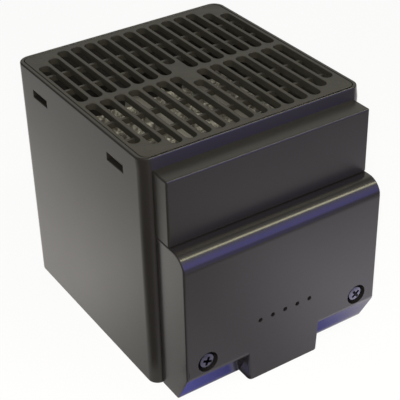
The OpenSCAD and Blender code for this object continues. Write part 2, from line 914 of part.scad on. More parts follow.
// Bimetal cut-out on the inner face of the front wall
module thermal_cutout() {
  placed() color("#57504a") translate([hole_span / 4, wall, exit_z]) {
    block([-cutout_w / 2, 0, -cutout_h / 2], [cutout_w / 2, cutout_t, cutout_h / 2]);
    rod_y(cutout_h * 0.9, cutout_t, cutout_t + cutout_cap);
  }
}

// Lead from the board through the front wall to one row of tabs
module heater_lead(x, y) {
  tail_y = -board_front - lead_d / 2;
  lead([
    [x, tail_y, board_z1 - lead_tail], [x, tail_y, exit_z], [x, y, exit_z], [x, y, lead_z]
  ]);
  lead([[-bar_step, y, lead_z], [bar_step, y, lead_z]]);
  translate([x, y, lead_z]) sphere(d = lead_d * 1.05);
}

module live_lead() {
  placed() color("#7a4a2c") heater_lead(lead_x, live_y);
}

module neutral_lead() {
  placed() color("#3d5f8f") heater_lead(-lead_x, neutral_y);
}

// Lead from the fan's duct through the front wall to the edge of the board
module fan_lead() {
  tail_y = -board_front - lead_d / 2;
  x = -hole_span / 2 + lead_x;
  duct_r = fan_size / 2 - 0.4;
  y = mid - sqrt(duct_r * duct_r - x * x);
  placed() color("#2b2b2b")
    lead([[x, y - lead_d * 0.8, probe_z], [x, tail_y, probe_z], [-board_w / 2 + 2, tail_y, probe_z]]);
}

// One moulding: a fixed hook above, a sprung hook with a release lip below
module rail_clip() {
  grip = rail_w / 2 + rail_gap;
  slot_y = clip_t + rail_t + rail_gap;
  lip = grip - clip_grip;
  end = grip + clip_hook;
  tongue = end + 7;
  placed() color("#2f2e30") difference() {
    translate([0, body_d, rail_z]) across_x(clip_w)
      polygon([
        [0, end], [clip_reach - 1, end], [clip_reach, end - 1], [clip_reach, lip], [slot_y, lip],
        [slot_y, grip], [clip_t, grip], [clip_t, -grip], [slot_y, -grip], [slot_y, -lip],
        [slot_y + 0.6, -lip], [clip_reach, -grip], [clip_reach, -end], [clip_t, -end],
        [clip_t, -tongue], [flex_gap, -tongue], [flex_gap, -lip], [0, -lip]
      ]);
    at_clip_screws() {
      rod_y(small_screw_d + 0.4, -cut, clip_t + cut);
      rod_y(clip_head_d + 0.6, clip_t - 2, clip_t + cut);
    }
    translate([0, body_d, rail_z - end - 3.5])
      block([-clip_w / 5, -cut, -1.2], [clip_w / 5, clip_t + cut, 1.2]);
    for (s = [-1, 1])
      translate([s * clip_w * 0.36, body_d, rail_z])
        block([-flex_gap / 2, -cut, -tongue - cut], [flex_gap / 2, clip_reach + cut, -lip / 3]);
  }
}

module clip_screws() {
  placed() color("#9a9a9c") at_clip_screws()
    translate([0, clip_t - 2, 0])
      rotate([0, 0, 180]) pan_screw(clip_head_d, 1.8, small_screw_d, clip_t - 2 + wall + clip_boss - 2);
}

housing();
outlet_grille();
terminal_cover();
cover_screws();
terminal_board();
board_screws();
terminal_block();
terminal_clamps();
terminal_screws();
fan_frame();
fan_stator();
fan_bearings();
fan_shaft();
fan_rotor();
rotor_magnet();
heater_frame();
stack_screws();
heater_bar_left();
heater_bar_middle();
heater_bar_right();
fin_strip_1();
fin_strip_2();
fin_strip_3();
fin_strip_4();
fin_strip_5();
fin_strip_6();
fin_plate_1();
fin_plate_2();
fin_plate_3();
fin_plate_4();
thermal_cutout();
live_lead();
neutral_lead();
fan_lead();
rail_clip();
clip_screws();
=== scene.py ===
"""Enclosure heater: softened mouldings, grille, fins, screws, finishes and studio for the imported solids."""

import json
import math

import bmesh
import bpy
from bpy.props import FloatProperty, FloatVectorProperty, IntProperty, PointerProperty
from mathutils import Matrix, Vector


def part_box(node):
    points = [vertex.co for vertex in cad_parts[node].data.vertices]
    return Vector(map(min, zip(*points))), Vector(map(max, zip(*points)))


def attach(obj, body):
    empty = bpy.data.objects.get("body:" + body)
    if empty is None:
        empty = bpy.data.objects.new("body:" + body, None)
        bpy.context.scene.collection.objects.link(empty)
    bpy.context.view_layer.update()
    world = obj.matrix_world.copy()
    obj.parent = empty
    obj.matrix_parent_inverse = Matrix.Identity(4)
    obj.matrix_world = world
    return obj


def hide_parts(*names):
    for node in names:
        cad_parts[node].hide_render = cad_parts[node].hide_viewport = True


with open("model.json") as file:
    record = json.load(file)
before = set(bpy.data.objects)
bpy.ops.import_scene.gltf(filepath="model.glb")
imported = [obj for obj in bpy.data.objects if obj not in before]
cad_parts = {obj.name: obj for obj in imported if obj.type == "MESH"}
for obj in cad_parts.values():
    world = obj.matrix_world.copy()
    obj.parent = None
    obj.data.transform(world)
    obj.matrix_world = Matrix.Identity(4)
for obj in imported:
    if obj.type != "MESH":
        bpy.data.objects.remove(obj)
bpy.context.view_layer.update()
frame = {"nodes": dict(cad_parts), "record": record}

bl_info = {
    "name": "Enclosure heater",
    "version": (1, 0, 0),
    "blender": (4, 5, 0),
    "location": "3D View > Sidebar > Heater",
    "description": "Dresses the packed enclosure heater and sets up its studio",
    "category": "Object",
}

MM = 0.001
BODY = "heater"
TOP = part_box("housing")[1][2]
FIN_FOOT, FIN_HEAD = (corner[2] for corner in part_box("fin_strip_1"))
FRONT = -39.1 * MM  # front face of the housing
MIDDLE = 3.8 * MM  # middle of the housing from front to back
HALF_WIDTH = 42.5 * MM

# Front of the housing, as a copy of its node is reshaped
WIDE_CORNER = 4.5 * MM  # radius of the node's upright corners
CORNER = 3.7 * MM  # radius that they get in front
INNER_CORNER = 3.6 * MM  # points nearer to a corner's axis than this aren't on the outer wall
SET_BACK = 0.1 * MM  # how much further back the front face is set
SEAT_CORNER = 3.0 * MM  # corner radius of the grille's seat
PLAY = 0.05 * MM  # wall that is left at least in front of the seat
STRIP_FOOT = 84.4 * MM  # lower edge of the upright strip between step and rim
STRIP_HEIGHT = 3.4 * MM
STRIP_LEAN = 0.65 * MM  # how far the strip's upper edge leans back

# Connection cover
COVER_REACH = 16.1 * MM  # from the housing's front to the cover's
SCREW_SEAT = 13.1 * MM  # from the housing's front to the floor of the screws' counterbores
SHANK_REACH = 9.5 * MM  # length of the cover screws below their heads
POLE_PITCH = 5.08 * MM  # distance between two probe holes
PROBE_HEIGHT = 24.5 * MM  # height of the row of probe holes
ENTRY_REACH = 5.6 * MM  # from the housing's front to the axis of the cable entry
TAB_HALF = 14.5 * MM  # half the width of the tab
SLOPE_HEIGHT = 12.2 * MM  # height of the slope's upper edge
HOLE_EDGE = 0.1 * MM  # rounding round the holes
BROAD_EDGE = 1.4 * MM  # rounding of the tab's upright edges and the slope's upper edge

# Picture
DARK_HALF = 40 * MM  # half the width of the floor that stays dark under the heater
IMAGE = 400  # width and height in pixels
AXIS = (198.53, 202.55)  # pixel on the camera's axis

# Kinds of node that come up often
MATH, VECTOR_MATH, MIX = "ShaderNodeMath", "ShaderNodeVectorMath", "ShaderNodeMix"
MAP_RANGE, NOISE, MIX_SHADER = "ShaderNodeMapRange", "ShaderNodeTexNoise", "ShaderNodeMixShader"
COMBINE, SEPARATE = "ShaderNodeCombineXYZ", "ShaderNodeSeparateXYZ"
JOIN, LINE, INSTANCES = "GeometryNodeJoinGeometry", "GeometryNodeMeshLine", "GeometryNodeInstanceOnPoints"
RECTANGLE, FILLET = "GeometryNodeCurvePrimitiveQuadrilateral", "GeometryNodeFilletCurve"
TRANSFORM, REALIZE = "GeometryNodeTransform", "GeometryNodeRealizeInstances"


def linear(code):
    """Linear colour of an sRGB hex code."""
    parts = [int(code[i : i + 2], 16) / 255 for i in (1, 3, 5)]
    return tuple(c / 12.92 if c <= 0.04045 else ((c + 0.055) / 1.055) ** 2.4 for c in parts)


def opaque(tone, share=1):
    """Colour for a socket, times the share."""
    return tuple(c * share for c in tone) + (1,)


def length(name, description, mm):
    return FloatProperty(name=name, description=description, default=mm * MM, unit="LENGTH", precision=5)


def colour(name, description, code):
    return FloatVectorProperty(name=name, description=description, default=linear(code), subtype="COLOR")


def angle(name, description, degrees):
    return FloatProperty(name=name, description=description, default=math.radians(degrees), subtype="ANGLE")


def number(name, description, value):
    return FloatProperty(name=name, description=description, default=value)


class HeaterGrille(bpy.types.PropertyGroup):
    """Sizes of the outlet grille."""

    plate_w: length("Plate width", "Width of the grille plate", 81.7)
    plate_d: length("Plate depth", "Depth of the grille plate", 82.5)
    plate_t: length("Plate thickness", "Thickness of the grille plate", 2.4)
    corner: length("Corner radius", "Radius of the plate's corners", 2.85)
    lip: length("Lip", "Rounding of the edges of the slots", 0.22)
    columns: IntProperty(name="Columns", description="Number of slot columns, odd", default=15, min=9)
    pitch: length("Pitch", "Distance between two columns", 5.3707)
    slot_w: length("Slot width", "Width of a slot", 3.9507)
    slot_end: length("Slot end", "Far end of the long slots from the middle", 39.0)
    corner_step: length("Corner step", "How much shorter each of the two outermost columns is", 3.55)
    mid_bar: length("Middle bar", "Width of the bar across the middle", 2.5)
    centre: length("Centre plate", "Length of the closed plate in the middle column", 15.2)
    bar_w: length("Cross bar width", "Width of a sunk cross bar", 1.2)
    bar_h: length("Cross bar height", "Height of a sunk cross bar", 2.0)
    bar_drop: length("Cross bar drop", "Depth of the cross bars below the top face", 1.5)
    bar_short: length("Cross bar end", "How much shorter the cross bars are than the plate is wide", 3.1)
    latch_y: length("Latch place", "Distance of the latches from the middle", 25.7)
    latch_w: length("Latch width", "Width of a latch", 9.6)


class HeaterFins(bpy.types.PropertyGroup):
    """Sizes of the corrugated fins."""

    walls: IntProperty(name="Walls", description="Number of walls in a strip", default=21, min=3)
    pitch: length("Pitch", "Distance between two walls", 3.5)
    height: length("Height", "Height of a strip", (FIN_HEAD - FIN_FOOT) / MM)
    sheet: length("Sheet", "Thickness of the sheet", 0.4)
    bend: length("Bend", "Radius at the folds", 0.5)
    strip_w: length("Strip width", "Width of a strip", 9.2)
    bar_t: length("Bar", "Thickness of a heater bar", 6.0)
    bar_step: length("Step", "Distance between two heater bars", 25.2)
    foot: length("Foot", "Height of the strips' lower edge", FIN_FOOT / MM)


class HeaterScrews(bpy.types.PropertyGroup):
    """Sizes of the pan-head screws."""

    head_d: length("Head", "Diameter of the cover screws' heads", 6.5)
    head_h: length("Head height", "Height of the cover screws' heads", 2.7)
    shank_d: length("Shank", "Diameter of the cover screws' shanks", 3.0)
    span: length("Span", "Distance between the cover screws", 62.2)
    height: length("Height", "Height of the cover screws", 16.8)
    clip_head_d: length("Clip head", "Diameter of the clip screws' heads", 5.6)
    clip_head_h: length("Clip head height", "Height of the clip screws' heads", 1.8)
    clip_shank_d: length("Clip shank", "Diameter of the clip screws' shanks", 2.2)


class HeaterFinish(bpy.types.PropertyGroup):
    """Colours of the finishes."""

    housing: colour("Housing", "Polyamide of the housing", "#1c1a19")
    grille: colour("Grille", "Polyamide of the grille", "#292723")
    cover: colour("Cover", "Polyamide of the cover", "#1d1b1c")
    clip: colour("Clip", "Acetal of the rail clip", "#262527")
    fin: colour("Fins", "Aluminium of the fins", "#dad6ca")
    zinc: colour("Zinc", "Zinc plating of the inner screws", "#a9a8a6")
    oxide: colour("Black oxide", "Blackened steel of the cover screws", "#6e6e7b")


class HeaterStudio(bpy.types.PropertyGroup):
    """Camera and light."""

    lens: number("Lens", "Focal length in millimetres", 102.93)
    azimuth: angle("Azimuth", "Camera's turn round the heater", -32.514)
    elevation: angle("Elevation", "Camera's angle above the horizon", 33.272)
    roll: angle("Roll", "Camera's tilt", 1.495)
    place: FloatVectorProperty(
        name="Camera", description="Place of the camera", default=(-0.18441, -0.29244, 0.26419),
        subtype="TRANSLATION",
    )
    fill: number("Fill", "Strength of the studio's all-round light", 0.4)
    paper: colour("Paper", "Colour of the floor", "#f2f1ef")
    # Walls, front, the overhang's blue and the window are colours of the painted reflection, seen only in
    # reflections; the walls' colour also tints the key lamp
    walls: colour("Walls", "Colour of the room in reflections", "#e8e5d8")
    front: colour("Front", "Colour of the paper in front, in reflections", "#e4dfea")
    cloth: colour("Overhang", "Colour of the paper under the overhang, in reflections", "#8f8fff")
    window: colour("Window", "Colour of the window in front, in reflections", "#9794ff")
    window_glow: number("Window glow", "Brightness of that window in reflections", 2.8)
    key: number("Key", "Power of the soft lamp beside the camera, in watts", 2.4)
    top: number("Top", "Power of the strip lamp overhead, in watts", 0.9)
    strip: colour("Strip", "Colour of the strip lamp overhead", "#e8e2bc")


# Nodes and meshes


def feed(node, inputs):
    """Sets a node's inputs, by name or number, to values, sockets, nodes' first outputs or lists of them."""
    for key, value in inputs.items():
        for item in value if isinstance(value, list) else [value]:
            if isinstance(item, bpy.types.Node):
                item = item.outputs[0]
            if isinstance(item, bpy.types.NodeSocket):
                node.id_data.links.new(item, node.inputs[key])
            else:
                node.inputs[key].default_value = item
    return node


def add(tree, kind, inputs=None, **settings):
    """Adds a node with its settings, and feeds its inputs."""
    node = tree.nodes.new(kind)
    for key, value in settings.items():
        setattr(node, key, value)
    return feed(node, inputs or {})


def new_tree(name, sizes):
    """Geometry tree with a named input for each size; returns it with its inputs and its output node."""
    tree = bpy.data.node_groups.new(name, "GeometryNodeTree")
    face = tree.interface
    face.new_socket("Geometry", in_out="INPUT", socket_type="NodeSocketGeometry")
    for label, kind in sizes.items():
        face.new_socket(label, in_out="INPUT", socket_type="NodeSocket" + kind)
    face.new_socket("Geometry", in_out="OUTPUT", socket_type="NodeSocketGeometry")
    return tree, add(tree, "NodeGroupInput").outputs, add(tree, "NodeGroupOutput")


def end_tree(tree, given, result, shape):
    """Ends a tree: makes its instances real and sets the material."""
    real = add(tree, REALIZE, {"Geometry": shape})
    made = add(tree, "GeometryNodeSetMaterial", {"Geometry": real, "Material": given["Material"]})
    feed(result, {"Geometry": made})
    return tree


def new_piece(name, bm):
    """Object at the origin with the mesh of bm."""
    mesh = bpy.data.meshes.new(name)
    bm.to_mesh(mesh)
    bm.free()
    piece = bpy.data.objects.new(name, mesh)
    bpy.context.scene.collection.objects.link(piece)
    return piece


def bake(piece, join=0.0):
    """Turns the piece and its modifiers into a plain mesh; join merges doubles and turns faces outwards."""
    graph = bpy.context.evaluated_depsgraph_get()
    baked = bpy.data.meshes.new_from_object(piece.evaluated_get(graph), depsgraph=graph)
    if not baked.polygons:
        raise RuntimeError(piece.name + " came out empty")
    piece.modifiers.clear()
    piece.data = baked
    if join:
        bm = bmesh.new()
        bm.from_mesh(baked)
        bmesh.ops.remove_doubles(bm, verts=bm.verts, dist=join)
        bmesh.ops.recalc_face_normals(bm, faces=bm.faces)
        bm.to_mesh(baked)
        bm.free()


def grow(piece, tree, values, join=2e-5):
    """Runs a geometry tree on the piece with its named inputs and bakes the result."""
    modifier = piece.modifiers.new(tree.name, "NODES")
    modifier.node_group = tree
    names = {s.name: s.identifier for s in tree.interface.items_tree if s.in_out == "INPUT"}
    for label, value in values.items():
        modifier[names[label]] = value
    bake(piece, join)


def shade(piece, degrees=38):
    """Smooth shading that breaks at edges sharper than the angle."""
    piece.data.shade_smooth()
    piece.data.set_sharp_from_angle(angle=math.radians(degrees))


def mount(piece, slot, *nodes):
    """Puts a finished piece on its body in place of the CAD nodes."""
    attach(piece, BODY)
    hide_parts(*nodes)


def tight_corners(spot):
    """Moves a point of the housing's outer wall: upright corners tighter, front face a little further back
    and leaning above the step."""
    across = max(abs(spot.x) - HALF_WIDTH + WIDE_CORNER, 0)
    ahead = FRONT + WIDE_CORNER - spot.y
    if ahead > -1e-6 and INNER_CORNER < math.hypot(across, ahead) < WIDE_CORNER + PLAY:
        beside = max(abs(spot.x) - HALF_WIDTH + CORNER, 0)
        was = math.sqrt(max(WIDE_CORNER**2 - across**2, 0)) - WIDE_CORNER
        now = math.sqrt(max(CORNER**2 - beside**2, 0)) - CORNER
        lean = min(max((spot.z - STRIP_FOOT) / STRIP_HEIGHT, 0), 1) * STRIP_LEAN
        seat = FRONT + WIDE_CORNER - math.sqrt(max(SEAT_CORNER**2 - across**2, 0)) - PLAY
        spot.y = min(spot.y + was - now + SET_BACK + lean, seat)


def meet_housing(spot):
    """Moves a point of the cover's rear edge back to the housing's front face."""
    if abs(spot.y - FRONT) < 0.5 * MM:
        spot.y += SET_BACK


def softened(node, name, material, width, zones=(), reshape=None):
    """Copy of a CAD node with its sharp outer edges rounded by width, as a mould leaves them.
    Each zone gives a line by point and direction, how near it an edge has to be, and the rounding there."""
    bm = bmesh.new()
    bm.from_mesh(frame["nodes"][node].data)
    bmesh.ops.remove_doubles(bm, verts=bm.verts, dist=1e-6)
    bmesh.ops.dissolve_limit(bm, angle_limit=math.radians(0.5), verts=bm.verts, edges=bm.edges)
    for offset in sorted({width} | {zone[3] for zone in zones}, reverse=True):
        edges = []
        for e in bm.edges:
            if len(e.link_faces) != 2 or not e.is_convex:
                continue
            wanted, least = width, 40
            for point, axis, reach, own_width in zones:
                if all((v.co - Vector(point)).cross(Vector(axis)).length < reach for v in e.verts):
                    wanted, least = own_width, 20
            if wanted == offset and e.calc_face_angle() > math.radians(least):
                edges.append(e)
        bmesh.ops.bevel(
            bm, geom=edges, offset=offset, offset_type="OFFSET", segments=3, profile=0.5, affect="EDGES",
            clamp_overlap=False, loop_slide=False, material=-1,
        )
    bmesh.ops.remove_doubles(bm, verts=bm.verts, dist=1e-6)
    low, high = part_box(node)
    for v in bm.verts:  # where two roundings meet, none stands proud of the node
        v.co = Vector(min(max(place, least), most) for place, least, most in zip(v.co, low, high))
    if reshape:
        whole = bm.verts[:] + bm.edges[:] + bm.faces[:]
        bmesh.ops.bisect_plane(bm, geom=whole, dist=1e-6, plane_co=(0, 0, STRIP_FOOT), plane_no=(0, 0, 1))
        for v in bm.verts:
            reshape(v.co)
    piece = new_piece(name, bm)
    piece.data.materials.clear()
    piece.data.materials.append(material)
    shade(piece, 18)
    flat = piece.modifiers.new("flat_faces", "WEIGHTED_NORMAL")
    flat.weight = 100
    flat.keep_sharp = True
    bake(piece)
    return piece


# Finishes


def new_finish(name):
    """Material of that name, with its tree, its shader and its Object coordinates."""
    material = bpy.data.materials.new(name)
    material.use_nodes = True
    tree = material.node_tree
    return material, tree, tree.nodes["Principled BSDF"], add(tree, "ShaderNodeTexCoord").outputs["Object"]


def moulded(name, tone, roughness, grain=0.35, depth=0.012, pins=None):
    """Glass-filled polyamide, injection moulded in a spark-eroded tool: semi-gloss with a fine even grain.
    The real grain is about 0.05 mm; it is drawn coarser so that it shows. Where pins gives a place, the
    round marks of four tool pins are sunk there and at its mirror images."""
    material, tree, shader, place = new_finish(name)
    fine = add(tree, NOISE, {"Vector": place, "Scale": 1 / (grain * MM), "Detail": 2.0})
    flow = add(tree, NOISE, {"Vector": place, "Scale": 1 / (28 * MM), "Detail": 3.0})
    tint = add(tree, MIX, {"Factor": flow, 6: opaque(tone, 0.86), 7: opaque(tone, 1.16)}, data_type="RGBA")
    gloss = add(tree, MAP_RANGE, {"Value": flow, "To Min": roughness * 0.88, "To Max": roughness * 1.12})
    height = fine
    if pins:
        level = {0: place, 1: (1, 1, 0), 2: (0, -MIDDLE, 0)}
        flat = add(tree, VECTOR_MATH, level, operation="MULTIPLY_ADD")
        quarter = add(tree, VECTOR_MATH, {0: flat}, operation="ABSOLUTE")
        away = add(tree, VECTOR_MATH, {0: quarter, 1: pins}, operation="DISTANCE").outputs["Value"]
        edge = {"From Min": 1.8 * MM, "From Max": 2.1 * MM, "To Min": -8.0, "To Max": 0.0}
        sunk = add(tree, MAP_RANGE, {"Value": away, **edge})
        height = add(tree, MATH, {0: fine, 1: sunk})
    bump = add(tree, "ShaderNodeBump", {"Height": height, "Distance": depth * MM, "Strength": 0.6})
    feed(shader, {"Base Color": tint.outputs[2], "Roughness": gloss, "Normal": bump, "IOR": 1.53})
    return material


def metal(name, tone, roughness, streak_mm, stretch=(1, 1, 1), bare=1.0, stain_and_glint=0.8):
    """Bare or plated metal: a faint drawn or rolled streak in colour and gloss, darkened by stains. Where the
    darkening is strong, as on the fins, its light and dark mottle is partly stains and partly painted glints.
    """
    material, tree, shader, place = new_finish(name)
    turned = add(tree, "ShaderNodeMapping", {"Vector": place, "Scale": stretch})
    streak = add(tree, NOISE, {"Vector": turned, "Scale": 1 / (streak_mm * MM), "Detail": 4.0})
    clean_and_glint = add(tree, MAP_RANGE, {"Value": streak, "From Min": 0.38, "From Max": 0.62})
    tint = add(tree, MIX, {"Factor": clean_and_glint, 6: opaque(tone, stain_and_glint), 7: opaque(tone)}, data_type="RGBA")
    gloss = add(tree, MAP_RANGE, {"Value": streak, "To Min": roughness + 0.08, "To Max": roughness - 0.08})
    feed(shader, {"Base Color": tint.outputs[2], "Roughness": gloss, "Metallic": bare})
    return material


FINISHES = {}


class HEATER_OT_finishes(bpy.types.Operator):
    """Makes the finishes and gives each CAD node that stays the one of its slot"""

    bl_idname = "heater.finishes"
    bl_label = "Finishes"

    def execute(self, context):
        tones = {k: tuple(getattr(context.scene.heater_finish, k)) for k in HeaterFinish.__annotations__}
        pins = (36.6 * MM, 36.5 * MM, 0)
        FINISHES.update(
            housing_plastic=moulded("moulded_polyamide_housing", tones["housing"], 0.30),
            grille_plastic=moulded("moulded_polyamide_grille", tones["grille"], 0.40, pins=pins),
            cover_plastic=moulded("moulded_polyamide_cover", tones["cover"], 0.18, depth=0.005),
            clip_plastic=moulded("moulded_acetal_clip", tones["clip"], 0.36),
            fan_plastic=moulded("moulded_polyester_fan", linear("#29292b"), 0.45),
            frame_plastic=moulded("moulded_polyphenylene_frame", linear("#262423"), 0.5),
            terminal_plastic=moulded("moulded_polyamide_terminals", linear("#cfcbbb"), 0.45),
            cutout_phenolic=moulded("pressed_phenolic_cutout", linear("#3a332d"), 0.4),
            board_laminate=moulded("solder_resist_on_laminate", linear("#214a2c"), 0.3, grain=0.8),
            magnet_ferrite=moulded("pressed_ferrite", linear("#39383a"), 0.6),
            lead_brown=moulded("silicone_lead_brown", linear("#6b4026"), 0.5),
            lead_blue=moulded("silicone_lead_blue", linear("#2f5f9c"), 0.5),
            lead_black=moulded("silicone_lead_black", linear("#222222"), 0.5),
            zinc_steel=metal("zinc_plated_steel", tones["zinc"], 0.34, 0.6),
            oxide_steel=metal("black_oxide_steel", tones["oxide"], 0.26, 0.6),
            shaft_steel=metal("ground_steel_shaft", linear("#c4c4c6"), 0.2, 0.3, (1, 1, 8)),
            terminal_brass=metal("nickel_plated_brass", linear("#c8b98a"), 0.3, 0.5),
            winding_copper=metal("enamelled_copper_wire", linear("#a45a2c"), 0.35, 0.4, (1, 1, 6)),
            bearing_bronze=metal("sintered_bronze", linear("#a98246"), 0.45, 0.3),
            bar_aluminium=metal("extruded_aluminium_bar", linear("#c9c6bc"), 0.40, 1.2, (1, 0.1, 1), 0.4),
            # The fins' strong mottle is partly stains and partly painted glints
            fin_aluminium=metal("rolled_aluminium_fin", tones["fin"], 0.34, 2.0, (1, 1, 0.6), 0.1, 0.2),
        )
        for part in frame["record"]["subparts"]:
            mesh = frame["nodes"][part["node"]].data
            mesh.materials.clear()
            mesh.materials.append(FINISHES[part["material_slot"]])
        return {"FINISHED"}


# Pieces


class HEATER_OT_mouldings(bpy.types.Operator):
    """Housing, connection cover and rail clip with the small edge radii of a mould"""

    bl_idname = "heater.mouldings"
    bl_label = "Mouldings"

    def execute(self, context):
        s = context.scene.heater_screws
        along_x, along_y, along_z = (1, 0, 0), (0, 1, 0), (0, 0, 1)
        face = FRONT - COVER_REACH
        poles = [(pole * POLE_PITCH, 0, PROBE_HEIGHT) for pole in range(-2, 3)]
        zones = [(pole, along_y, 1.2 * MM, HOLE_EDGE) for pole in poles]
        zones.append(((0, FRONT - ENTRY_REACH, 0), along_z, 4.5 * MM, HOLE_EDGE))
        for side in (-1, 1):
            zones.append(((side * s.span / 2, 0, s.height), along_y, 6 * MM, HOLE_EDGE))
            zones.append(((side * TAB_HALF, face, 0), along_z, 0.3 * MM, BROAD_EDGE))
        zones.append(((0, face, SLOPE_HEIGHT), along_x, 0.3 * MM, BROAD_EDGE))
        for node, slot, width, own_zones, reshape in (
            ("housing", "housing_plastic", 0.25 * MM, (), tight_corners),
            ("terminal_cover", "cover_plastic", 0.45 * MM, zones, meet_housing),
            ("rail_clip", "clip_plastic", 0.3 * MM, (), None),
        ):
            mount(softened(node, node + "_moulding", FINISHES[slot], width, own_zones, reshape), slot, node)
        return {"FINISHED"}


def slot_row_tree():
    """A row of equal round-ended slot outlines along X, on one side of the middle."""
    tree, given, result = new_tree(
        "slot_row",
        {"First": "Float", "Pitch": "Float", "Count": "Int", "Near": "Float", "Far": "Float",
         "Side": "Float", "Width": "Float", "Grow": "Float"},
    )
    wide = add(tree, MATH, {0: given["Grow"], 1: 2.0, 2: given["Width"]}, operation="MULTIPLY_ADD")
    reach = add(tree, MATH, {0: given["Far"], 1: given["Near"]}, operation="SUBTRACT")
    tall = add(tree, MATH, {0: given["Grow"], 1: 2.0, 2: reach}, operation="MULTIPLY_ADD")
    half = add(tree, MATH, {0: wide, 1: 0.4995}, operation="MULTIPLY")
    box = add(tree, RECTANGLE, {"Width": wide, "Height": tall})
    outline = add(tree, FILLET, {"Curve": box, "Radius": half, "Count": 6}, mode="POLY")
    ends = add(tree, MATH, {0: given["Far"], 1: given["Near"]})
    middle = add(tree, MATH, {0: ends, 1: given["Side"]}, operation="MULTIPLY")
    half_way = add(tree, MATH, {0: middle, 1: 0.5}, operation="MULTIPLY")
    start = add(tree, COMBINE, {"X": given["First"], "Y": half_way})
    step = add(tree, COMBINE, {"X": given["Pitch"]})
    points = add(tree, LINE, {"Count": given["Count"], "Start Location": start, "Offset": step})
    feed(result, {"Geometry": add(tree, INSTANCES, {"Points": points, "Instance": outline})})
    return tree


def grille_tree(rows, bars):
    """Slotted plate with rounded edges, sunk cross bars and, at four places, the latch given as geometry."""
    tree, given, result = new_tree(
        "slotted_grille",
        {"Width": "Float", "Depth": "Float", "Thickness": "Float", "Corner": "Float", "Lip": "Float",
         "Slot width": "Float", "Bar size": "Vector", "Bar drop": "Float", "Latch place": "Float",
         "Place": "Vector", "Material": "Material"},
    )
    row_tree = slot_row_tree()

    def outlines(lip):
        """Outlines of the slots, grown by the lip, and of the plate, shrunk by it."""
        loops = []
        for first, pitch, count, near, far in rows:
            for side in (-1.0, 1.0):
                sizes = {"First": first, "Pitch": pitch, "Count": count, "Near": near, "Far": far,
                         "Side": side, "Width": given["Slot width"], "Grow": lip}
                loops.append(add(tree, "GeometryNodeGroup", sizes, node_tree=row_tree))
        slots = add(tree, REALIZE, {"Geometry": add(tree, JOIN, {"Geometry": loops})})
        sides = {}
        for label, size in (("Width", given["Width"]), ("Height", given["Depth"])):
            sides[label] = add(tree, MATH, {0: lip, 1: -2.0, 2: size}, operation="MULTIPLY_ADD")
        corner = add(tree, MATH, {0: given["Corner"], 1: lip}, operation="SUBTRACT")
        box = add(tree, RECTANGLE, sides)
        return slots, add(tree, FILLET, {"Curve": box, "Radius": corner, "Count": 8}, mode="POLY")

    slots, edge = outlines(0.0)
    wide_slots, short_edge = outlines(given["Lip"])

    # Wall section: down the side of the plate below a quarter round; x runs into the plate, y down
    centre = add(tree, COMBINE, {"X": given["Lip"], "Y": given["Lip"]})
    quarter = {"Resolution": 4, "Radius": given["Lip"], "Start Angle": math.pi, "Sweep Angle": math.pi / 2}
    arc = add(tree, "GeometryNodeCurveArc", quarter)
    round_edge = add(tree, TRANSFORM, {"Geometry": arc, "Translation": centre})
    upper = add(tree, COMBINE, {"Y": given["Lip"]})
    lower = add(tree, COMBINE, {"Y": given["Thickness"]})
    side = add(tree, "GeometryNodeCurvePrimitiveLine", {"Start": upper, "End": lower})
    section = add(tree, JOIN, {"Geometry": [round_edge, side]})
    mirrored = add(tree, TRANSFORM, {"Geometry": section, "Scale": (-1, 1, 1)})
    shells = []
    for loop, profile in ((slots, section), (edge, mirrored)):
        upright = add(tree, "GeometryNodeSetCurveNormal", {"Curve": loop}, mode="Z_UP")
        shells.append(add(tree, "GeometryNodeCurveToMesh", {"Curve": upright, "Profile Curve": profile}))
    faces = []
    for loops in ([wide_slots, short_edge], [slots, edge]):
        joined = add(tree, JOIN, {"Geometry": loops})
        faces.append(add(tree, "GeometryNodeFillCurve", {"Curve": joined}))
    drop = add(tree, MATH, {0: given["Thickness"], 1: -1.0}, operation="MULTIPLY")
    down = add(tree, COMBINE, {"Z": drop})
    shells += [faces[0], add(tree, TRANSFORM, {"Geometry": faces[1], "Translation": down})]

    # Cross bars, each sunk below the top face
    bar = add(tree, "GeometryNodeMeshCube", {"Size": given["Bar size"]})
    tall = add(tree, SEPARATE, {"Vector": given["Bar size"]}).outputs["Z"]
    sunk = add(tree, MATH, {0: tall, 1: -0.5}, operation="MULTIPLY")
    level = add(tree, MATH, {0: sunk, 1: given["Bar drop"]}, operation="SUBTRACT")
    for first, step in bars:
        start = add(tree, COMBINE, {"Y": first, "Z": level})
        points = add(tree, LINE, {"Count": 2, "Start Location": start, "Offset": (0, step, 0)})
        shells.append(add(tree, INSTANCES, {"Points": points, "Instance": bar}))

    # Latches: as given on the right, turned half round on the left
    nearer = add(tree, MATH, {0: given["Latch place"], 1: -1.0}, operation="MULTIPLY")
    between = add(tree, MATH, {0: given["Latch place"], 1: 2.0}, operation="MULTIPLY")
    start = add(tree, COMBINE, {"Y": nearer})
    step = add(tree, COMBINE, {"Y": between})
    pair = add(tree, LINE, {"Count": 2, "Start Location": start, "Offset": step})
    for turn in (0.0, math.pi):
        places = {"Points": pair, "Instance": given["Geometry"], "Rotation": (0, 0, turn)}
        shells.append(add(tree, INSTANCES, places))

    whole = add(tree, JOIN, {"Geometry": shells})
    placed = add(tree, TRANSFORM, {"Geometry": whole, "Translation": given["Place"]})
    return end_tree(tree, given, result, placed)


